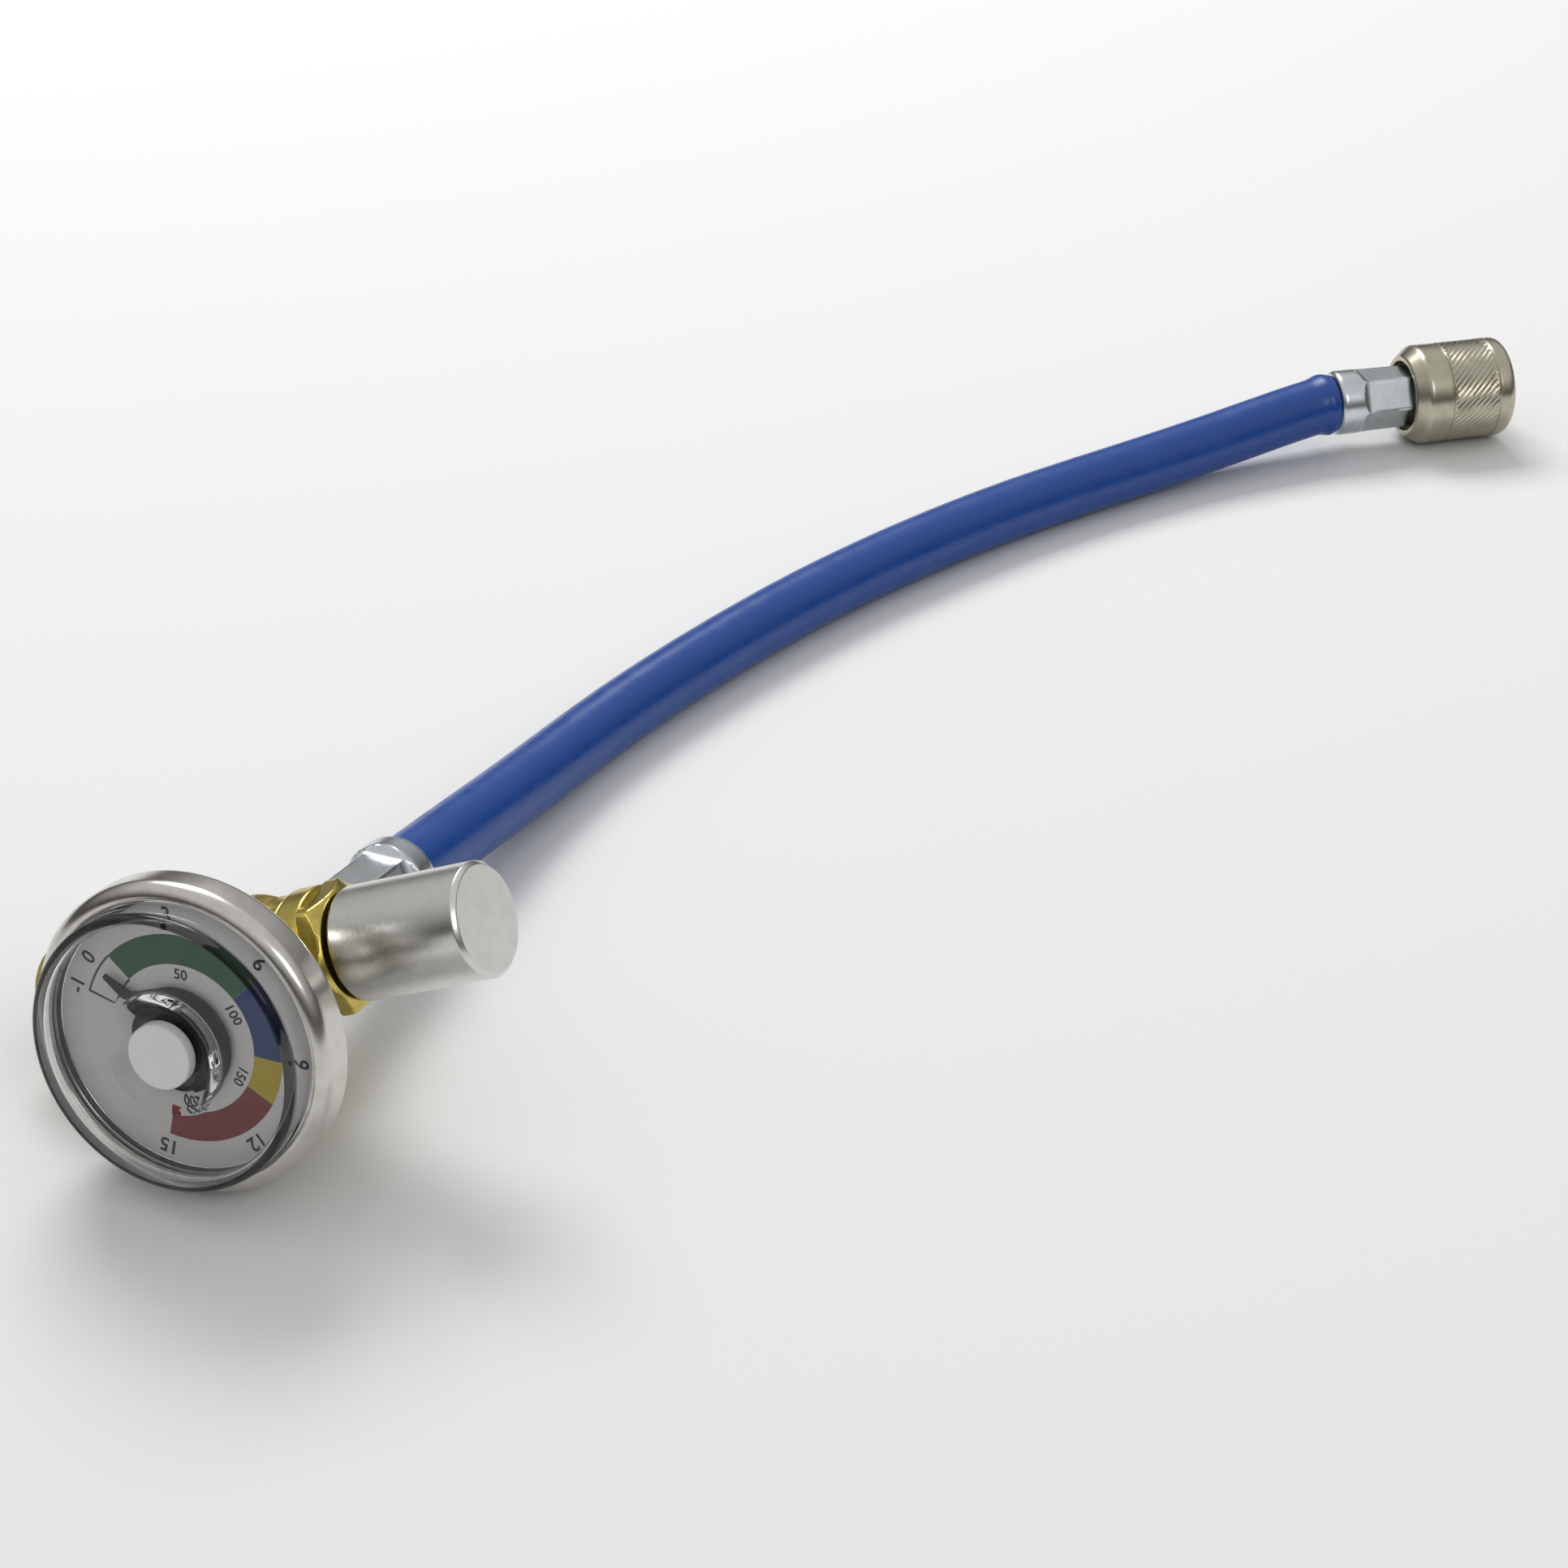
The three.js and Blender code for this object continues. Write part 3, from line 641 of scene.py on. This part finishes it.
turned("centre_plug", "lens_plug", ROOT, "lens_plug", [
    (0, -LENS_REACH - 0.2),
    (4.25, -LENS_REACH - 0.2, 0.3),
    (4.25, DISH_FLOOR - CLEARANCE, 0.1),
    (2.3, DISH_FLOOR - CLEARANCE, 0.1),
    (2.3, DISH_FLOOR + LENS_FACE, 0.2),
    (0, DISH_FLOOR + LENS_FACE),
], AT_GAUGE, plug_white, sides=96)

DIAL_FRONT = LENS_BACK + CLEARANCE
DIAL_BACK = DIAL_FRONT + 0.5
turned("dial_plate", "dial", ROOT, "dial", [
    (1.4, DIAL_FRONT),
    (GRIP_RADIUS - CLEARANCE, DIAL_FRONT, 0.1),
    (GRIP_RADIUS - CLEARANCE, DIAL_BACK, 0.1),
    (1.4, DIAL_BACK),
], AT_GAUGE, dial_white, closed=True, sides=128)

CASE_DEPTH = 8.5
RIM_BACK = BEZEL_BACK - BEZEL_WALL - CLEARANCE
turned("case_shell", "gauge_case", ROOT, "gauge_case", [
    (4.3, CASE_DEPTH, 0.2),
    (CASE_RADIUS, CASE_DEPTH, 3.6),
    (CASE_RADIUS, RIM_BACK, 0.3),
    (GRIP_RADIUS, RIM_BACK, 0.2),
    (GRIP_RADIUS, DIAL_BACK + CLEARANCE, 0.1),
    (CASE_RADIUS - 0.8, DIAL_BACK + CLEARANCE, 0.2),
    (CASE_RADIUS - 0.8, CASE_DEPTH - 0.8, 2.8),
    (4.3, CASE_DEPTH - 0.8, 0.2),
], AT_GAUGE, case_nickel, closed=True, sides=192)

STEM_FROM = CASE_DEPTH - 1.1
STEM_STEP = CASE_DEPTH + CLEARANCE
STEM_TO = 13.3
turned("stem_turned", "gauge_stem", ROOT, "brass", [
    (0, STEM_FROM),
    (4.0, STEM_FROM, 0.2),
    (4.0, STEM_STEP, 0.1),
    (4.6, STEM_STEP, 0.2),
    (4.6, STEM_TO, 0.3),
    (0, STEM_TO),
], AT_GAUGE, stem_brass, sides=96)
frame["nodes"]["movement"].data.materials.clear()
frame["nodes"]["movement"].data.materials.append(stem_brass)

# Pointer: disc with its hub and one tapering needle
POINTER_BACK = DIAL_FRONT - 0.6
POINTER_FRONT = POINTER_BACK - 0.4
NEEDLE_REACH = 12.4
SCALE_ZERO = -59.5
disc = as_object("pointer_disc", turned_mesh([
    (0, POINTER_FRONT - 0.9),
    (1.8, POINTER_FRONT - 0.9, 0.2),
    (1.8, POINTER_FRONT, 0.1),
    (7.1, POINTER_FRONT, 0.12),
    (7.1, POINTER_BACK, 0.1),
    (0.9, POINTER_BACK),
    (0.9, POINTER_FRONT - 0.4),
    (0, POINTER_FRONT - 0.4),
], sides=128), Matrix.Identity(4), None)
needle_mesh = bmesh.new()
bmesh.ops.create_grid(needle_mesh, x_segments=1, y_segments=1, size=0.5)
for vert in needle_mesh.verts:
    outwards = vert.co.y > 0
    vert.co = ((0.6 if outwards else 2.6) * vert.co.x, POINTER_FRONT, NEEDLE_REACH if outwards else 5.0)
raised = bmesh.ops.extrude_face_region(needle_mesh, geom=needle_mesh.faces[:])
bmesh.ops.translate(
    needle_mesh, vec=(0, POINTER_BACK - POINTER_FRONT, 0),
    verts=[item for item in raised["geom"] if isinstance(item, bmesh.types.BMVert)],
)
bmesh.ops.recalc_face_normals(needle_mesh, faces=needle_mesh.faces)
bmesh.ops.bevel(
    needle_mesh, geom=needle_mesh.edges[:], affect="EDGES", offset=0.06, offset_type="OFFSET",
    segments=2, profile=0.5, material=-1,
)
needle = as_object("needle_blade", needle_mesh, Matrix.Rotation(math.radians(SCALE_ZERO), 4, "Y"), None)
joined(disc, [needle], "UNION")
disc.data.transform(AT_GAUGE)
disc.data.materials.clear()
disc.data.materials.append(pointer_black)
stands_for(disc, "pointer", "needle")

# Plain numbers on the dial, read from outside, one mesh
PRINT_RISE = 0.02


def number(figures, size, radius, angle):
    """A printed number whose top points away from the dial's centre."""
    words = bpy.data.curves.new("number", "FONT")
    words.body = figures
    words.size = size
    words.align_x = "CENTER"
    words.align_y = "CENTER"
    words.extrude = PRINT_RISE / 2
    words.offset = 0.02 * size
    words.resolution_u = 3
    holder = bpy.data.objects.new("number", words)
    bpy.context.scene.collection.objects.link(holder)
    graph = bpy.context.evaluated_depsgraph_get()
    mesh = bpy.data.meshes.new_from_object(holder.evaluated_get(graph))
    bpy.data.objects.remove(holder)
    upright = Matrix.Rotation(math.pi / 2, 4, "X")
    out = Matrix.Translation((0, 0, radius))
    turn = Matrix.Rotation(math.radians(angle), 4, "Y")
    lift = Matrix.Translation((0, DIAL_FRONT - PRINT_RISE / 2, 0))
    mesh.transform(lift @ turn @ out @ upright)
    return mesh


BAR_STEP = 16.5
PSI_STEP = BAR_STEP / 14.504
numbers_mesh = bmesh.new()
for value in (-1, 0, 3, 6, 9, 12, 15):
    numbers_mesh.from_mesh(number(str(value), 2.7, 15.4, SCALE_ZERO + value * BAR_STEP))
for value in (50, 100, 150, 200):
    numbers_mesh.from_mesh(number(str(value), 1.9, 8.5, SCALE_ZERO + value * PSI_STEP))
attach(as_object("dial_numbers", numbers_mesh, AT_GAUGE, print_black), ROOT)

# Tap body: barrel, gauge flange and hose boss joined, then bored
SOCKET_END = 31.1
SOCKET_FLOOR = -SOCKET_END + 10.0
BARREL_END = 7.1
FLANGE_FRONT = -9.2
FLANGE_BACK = 2.0
NECK_END = 2.4
BARREL_RADIUS = 7.7
FLANGE_RADIUS = 10.4
BOSS_RADIUS = 6.0
SPINDLE_BORE = 2.2
SPOT_RADIUS = 8.5
# A cut's face that lay in the barrel's own end face would spoil the cut
OFF_FACE = 0.02


def rough_solid(name, corners, place, **how):
    return as_object(name, turned_mesh(corners, **how), place, tap_brass)


def rod(name, radius, start, end, place):
    return rough_solid(name, [(0, start), (radius, start), (radius, end), (0, end)], place, sides=96)


tap_body = rough_solid("tap_forging", [
    (0, -SOCKET_END),
    (BARREL_RADIUS, -SOCKET_END, 0.6),
    (BARREL_RADIUS, BARREL_END, 0.3),
    (0, BARREL_END),
], AT_TAP, sides=128)
joined(tap_body, [
    rough_solid("flange", [
        (0, FLANGE_FRONT),
        (FLANGE_RADIUS, FLANGE_FRONT, 0.6),
        (FLANGE_RADIUS, FLANGE_BACK, 0.6),
        (BOSS_RADIUS, FLANGE_BACK, 0.6),
        (BOSS_RADIUS, BOSS_REACH, 0.6),
        (0, BOSS_REACH),
    ], AT_CROSSING, sides=128),
], "UNION")
joined(tap_body, [
    rod("socket", 6.1, -SOCKET_END - 1, SOCKET_FLOOR, AT_TAP),
    rod("spindle_bore", SPINDLE_BORE, SOCKET_FLOOR - 1, BARREL_END + 1, AT_TAP),
    rod("neck_bore", 4.3, NECK_END - CLEARANCE, BARREL_END + 1, AT_TAP),
    rod("spot_face", SPOT_RADIUS, BARREL_END + OFF_FACE, BARREL_END + 10.4, AT_TAP),
    rod("stem_bore", 4.9, FLANGE_FRONT - 1, -4.7, AT_CROSSING),
    rod("gas_passage", 1.5, -5.0, BOSS_REACH + 1, AT_CROSSING),
], "DIFFERENCE")
tap_body.data.materials.clear()
tap_body.data.materials.append(tap_brass)
tap_body.data.shade_smooth()
tap_body.data.set_sharp_from_angle(angle=SHARP)
stands_for(weighted(tap_body), "tap_body", ROOT)

turned("socket_seal", "can_seal", ROOT, "rubber", [
    (2.5, SOCKET_FLOOR - 1.9, 0.2),
    (5.6, SOCKET_FLOOR - 1.9, 0.3),
    (5.6, SOCKET_FLOOR - 0.3, 0.2),
    (2.5, SOCKET_FLOOR - 0.3, 0.2),
], AT_TAP, seal_black, closed=True, sides=96)

# Bonnet: collar and chamfered hexagon on a threaded neck
HEX_ACROSS = 15.0
HEX_CORNER = 8.66
NECK_RADIUS = 4.0
COLLAR_RADIUS = 8.2
HEX_TURN = math.radians(8)
COLLAR_FROM = BARREL_END + CLEARANCE
HEX_FROM = COLLAR_FROM + 3.7
HEX_TO = HEX_FROM + 3.1


def hex_radius(across, angle):
    """Distance from the axis to a hexagon's side in a direction."""
    sixth = math.pi / 3
    return across / 2 / math.cos((angle + sixth / 2) % sixth - sixth / 2)


def bonnet_shape(radius, along, angle):
    if along > HEX_FROM + 0.01 and radius > 3:
        return min(radius, hex_radius(HEX_ACROSS, angle - HEX_TURN))
    return radius


turned("bonnet_turned", "bonnet", ROOT, "brass", [
    (SPINDLE_BORE, NECK_END, 0.2),
    (NECK_RADIUS, NECK_END, 0.3),
    (NECK_RADIUS, COLLAR_FROM, 0.1),
    (COLLAR_RADIUS, COLLAR_FROM, 0.5),
    (COLLAR_RADIUS, HEX_FROM, 0.4),
    (COLLAR_RADIUS - 0.2, HEX_FROM + 0.02),
    (HEX_CORNER, HEX_FROM + 0.03),
    (HEX_CORNER, HEX_TO - 1.4),
    (7.2, HEX_TO, 0.1),
    (SPINDLE_BORE, HEX_TO, 0.2),
], AT_TAP, tap_brass, closed=True, gap=0.25, reshape=bonnet_shape)

# Spindle with its thread, and the knob
KNOB_FROM = HEX_TO + 0.6
KNOB_TO = KNOB_FROM + 19.2
KNOB_RADIUS = 7.35
KNOB_EDGE = 0.5
SPINDLE_RADIUS = 1.9
SPINDLE_TIP = -24.5
THREAD_PITCH = 1.0
THREAD_DEPTH = 0.25


def spindle_shape(radius, along, angle):
    if radius > 1.85 and -2.0 < along < KNOB_FROM + 3:
        turns = (along / THREAD_PITCH + angle / math.tau) % 1.0
        return radius - THREAD_DEPTH * abs(2 * turns - 1)
    return radius


turned("spindle_screw", "spindle", "piercing_spindle", "steel", [
    (0, SPINDLE_TIP),
    (0.4, SPINDLE_TIP, 0.1),
    (SPINDLE_RADIUS, SPINDLE_TIP + 3.0, 0.2),
    (SPINDLE_RADIUS, KNOB_FROM + 5.7, 0.2),
    (0, KNOB_FROM + 5.7),
], AT_TAP, spindle_steel, sides=64, gap=0.125, reshape=spindle_shape)

turned("knob_turned", "knob", "turning_knob", "knob", [
    (0, KNOB_FROM + 6.0),
    (SPINDLE_BORE, KNOB_FROM + 6.0),
    (SPINDLE_BORE, KNOB_FROM, 0.2),
    (KNOB_RADIUS - KNOB_EDGE, KNOB_FROM, 0.15),
    (KNOB_RADIUS, KNOB_FROM + KNOB_EDGE, 0.15),
    (KNOB_RADIUS, KNOB_TO - KNOB_EDGE, 0.12),
    (KNOB_RADIUS - KNOB_EDGE, KNOB_TO, 0.12),
    (0, KNOB_TO),
], AT_TAP, knob_aluminium)

# Crimped ferrules
CRIMP_ACROSS = 9.6
COLLAR_LENGTH = 4.0
CONE_LENGTH = 2.4


def ferrule(name, node, length, collar, place, material):
    """A round sleeve that six dies have pressed flat in the middle of its length."""
    collar_start = length - COLLAR_LENGTH
    press_end = collar_start - 0.4 * CONE_LENGTH

    def pressed(radius, along, angle):
        if radius < 3:
            return radius
        ends = min(along - 1.2, press_end - along)
        if ends <= -0.9:
            return radius
        release = max(0.0, 0.5 - ends) / 1.4
        flat = hex_radius(CRIMP_ACROSS, angle) + release * release * 1.1
        return min(radius, flat)

    return turned(name, node, ROOT, "zinc", [
        (1.8, 0, 0.2),
        (4.8, 0, 0.6),
        (5.45, 1.3, 0.3),
        (5.5, collar_start - CONE_LENGTH, 0.5),
        (collar, collar_start, 0.5),
        (collar, length, 0.9),
        (1.8, length, 0.2),
    ], place, material, closed=True, gap=0.25, reshape=pressed)


ferrule("near_crimp", "near_ferrule", NEAR_FERRULE_LENGTH, 6.1, AT_NEAR, near_zinc)
turned_end = AT_FAR @ Matrix.Translation((0, FAR_FERRULE_LENGTH, 0)) @ Matrix.Rotation(math.pi, 4, "X")
far_crimp = ferrule("far_crimp", "far_ferrule", FAR_FERRULE_LENGTH, 5.7, turned_end, far_zinc)

# Nipple, gasket and swivel nut
NUT_TO = NUT_FROM + NUT_LENGTH
SHOULDER_FROM = NUT_FROM + 3.2
SHOULDER_TO = NUT_TO - 9.5
HEAD_FROM = SHOULDER_TO + CLEARANCE
HEAD_TO = HEAD_FROM + 2.0
nipple = turned("nipple_turned", "nipple", ROOT, "steel", [
    (1.8, FAR_FERRULE_LENGTH + CLEARANCE, 0.2),
    (3.4, FAR_FERRULE_LENGTH + CLEARANCE, 0.2),
    (3.4, HEAD_FROM, 0.1),
    (5.0, HEAD_FROM, 0.2),
    (5.0, HEAD_TO, 0.3),
    (1.8, HEAD_TO, 0.2),
], AT_FAR, nipple_steel, closed=True, sides=96)
gasket = turned("nut_seal", "nut_gasket", ROOT, "rubber", [
    (2.1, HEAD_TO + 0.3, 0.2),
    (5.0, HEAD_TO + 0.3, 0.3),
    (5.0, HEAD_TO + 2.1, 0.3),
    (2.1, HEAD_TO + 2.1, 0.2),
], AT_FAR, gasket_black, closed=True, sides=96)

NUT_RADIUS = 8.8
KNURL_FROM = NUT_FROM + 6.6
KNURL_TO = NUT_TO - 3.4
KNURL_RIBS = 48
KNURL_DEPTH = 0.22
SOCKET_PITCH = 1.27


def nut_shape(radius, along, angle):
    if radius > 8.5 and KNURL_FROM < along < KNURL_TO:
        fade = min(1.0, (along - KNURL_FROM) / 0.5, (KNURL_TO - along) / 0.5)
        turns = (angle * KNURL_RIBS / math.tau + along * KNURL_RIBS / (math.tau * NUT_RADIUS)) % 1.0
        return radius - KNURL_DEPTH * fade * abs(2 * turns - 1)
    if 5.3 < radius < 5.7 and along > SHOULDER_TO + 4.5:
        turns = (along / SOCKET_PITCH - angle / math.tau) % 1.0
        return radius + 0.15 - 0.3 * abs(2 * turns - 1)
    return radius


nut = turned("knurled_nut", "swivel_nut", "hose_nut", "nut", [
    (6.2, NUT_FROM, 0.2),
    (7.0, NUT_FROM, 0.3),
    (NUT_RADIUS, NUT_FROM + 2.2, 0.4),
    (NUT_RADIUS, KNURL_FROM - 0.35, 0.1),
    (NUT_RADIUS - 0.25, KNURL_FROM - 0.1, 0.05),
    (NUT_RADIUS, KNURL_FROM + 0.1, 0.05),
    (NUT_RADIUS, KNURL_TO - 0.1, 0.05),
    (NUT_RADIUS - 0.25, KNURL_TO + 0.1, 0.05),
    (NUT_RADIUS, KNURL_TO + 0.35, 0.1),
    (NUT_RADIUS, NUT_TO, 1.5),
    (5.5, NUT_TO, 0.4),
    (5.5, SHOULDER_TO, 0.1),
    (3.7, SHOULDER_TO, 0.1),
    (3.7, SHOULDER_FROM, 0.1),
    (6.2, SHOULDER_FROM, 0.2),
], AT_FAR, nut_nickel, closed=True, sides=384, gap=0.3, reshape=nut_shape)

# Hose: a round tube along its route, with a slight swell where it meets the far ferrule
SWELL = 0.10
SWELL_FROM_END = 1.4 * MM
SWELL_WIDTH = 1.3 * MM


def hose_curve():
    data = bpy.data.curves.new("blue_hose", "CURVE")
    data.dimensions = "3D"
    data.bevel_depth = HOSE_RADIUS * MM
    data.bevel_resolution = 14
    data.use_fill_caps = True
    spline = data.splines.new("POLY")
    spline.points.add(len(centreline) - 1)
    gone = 0.0
    for i, point in enumerate(centreline):
        if i:
            gone += (point - centreline[i - 1]).length
        from_end = hose_length - gone
        swell = SWELL * math.exp(-(((from_end - SWELL_FROM_END) / SWELL_WIDTH) ** 2))
        spline.points[i].co = (*point, 1)
        spline.points[i].radius = 1 + swell
    spline.use_smooth = True
    data.materials.append(hose_blue)
    piece = bpy.data.objects.new("blue_hose", data)
    bpy.context.scene.collection.objects.link(piece)
    return stands_for(piece, "hose", ROOT)


hose = hose_curve()

# Floor, lights and surroundings: a pale sheet that darkens away from the object
SHEET_MIDDLE = (0.05, 0.32, 0)
SHEET_REACH = 0.55
FADE_REACH = 1.0
SHEET_PALE = (0.80, 0.80, 0.80, 1)
SHEET_DARK = (0.12, 0.11, 0.10, 1)
FLOOR_DROP = 0.0001
floor_mesh = bmesh.new()
bmesh.ops.create_grid(floor_mesh, x_segments=1, y_segments=1, size=3.0)
floor_material, floor_tree, floor_shader = blank("floor_pale")
floor_place = floor_tree.nodes.new("ShaderNodeTexCoord").outputs["Object"]
span = floor_tree.nodes.new("ShaderNodeVectorMath")
span.operation = "DISTANCE"
wire(floor_tree, span, _0=floor_place, _1=SHEET_MIDDLE)
faded = ranged(floor_tree, span.outputs["Value"], SHEET_REACH, FADE_REACH)
sheet = mixed(floor_tree, faded, SHEET_PALE, SHEET_DARK)
floor_tree.links.new(sheet, floor_shader.inputs["Base Color"])
floor_shader.inputs["Roughness"].default_value = 0.9
floor_shader.inputs["Specular IOR Level"].default_value = 0.2
floor = as_object("floor", floor_mesh, Matrix.Translation((0, 0, -FLOOR_DROP)), floor_material)


def area_light(name, place, aim, size, power):
    data = bpy.data.lights.new(name, "AREA")
    data.shape = "RECTANGLE"
    data.size, data.size_y = size
    data.energy = power
    light = bpy.data.objects.new(name, data)
    light.location = place
    light.rotation_euler = (Vector(aim) - Vector(place)).to_track_quat("-Z", "Y").to_euler()
    bpy.context.scene.collection.objects.link(light)


LIT_PLACE = (0.03, 0.08, 0)
area_light("key", (-0.55, 0.75, 1.0), LIT_PLACE, (0.7, 0.5), 10.5)
area_light("fill", (0.9, -0.6, 0.9), LIT_PLACE, (0.5, 0.5), 2.0)

world = bpy.data.worlds.new("studio")
world.use_nodes = True
bpy.context.scene.world = world
sky_tree = world.node_tree
sky = sky_tree.nodes["Background"]
direction = sky_tree.nodes.new("ShaderNodeTexCoord").outputs["Generated"]
DARK_ROOM = (0.06, 0.052, 0.045, 1)
PALE_CEILING = (0.68, 0.68, 0.68, 1)
overhead = ranged(sky_tree, split_up(sky_tree, direction)[2], 0.12, 0.65)
surroundings = mixed(sky_tree, overhead, DARK_ROOM, PALE_CEILING)
sky_tree.links.new(surroundings, sky.inputs["Color"])
bpy.context.scene.view_settings.view_transform = "Standard"
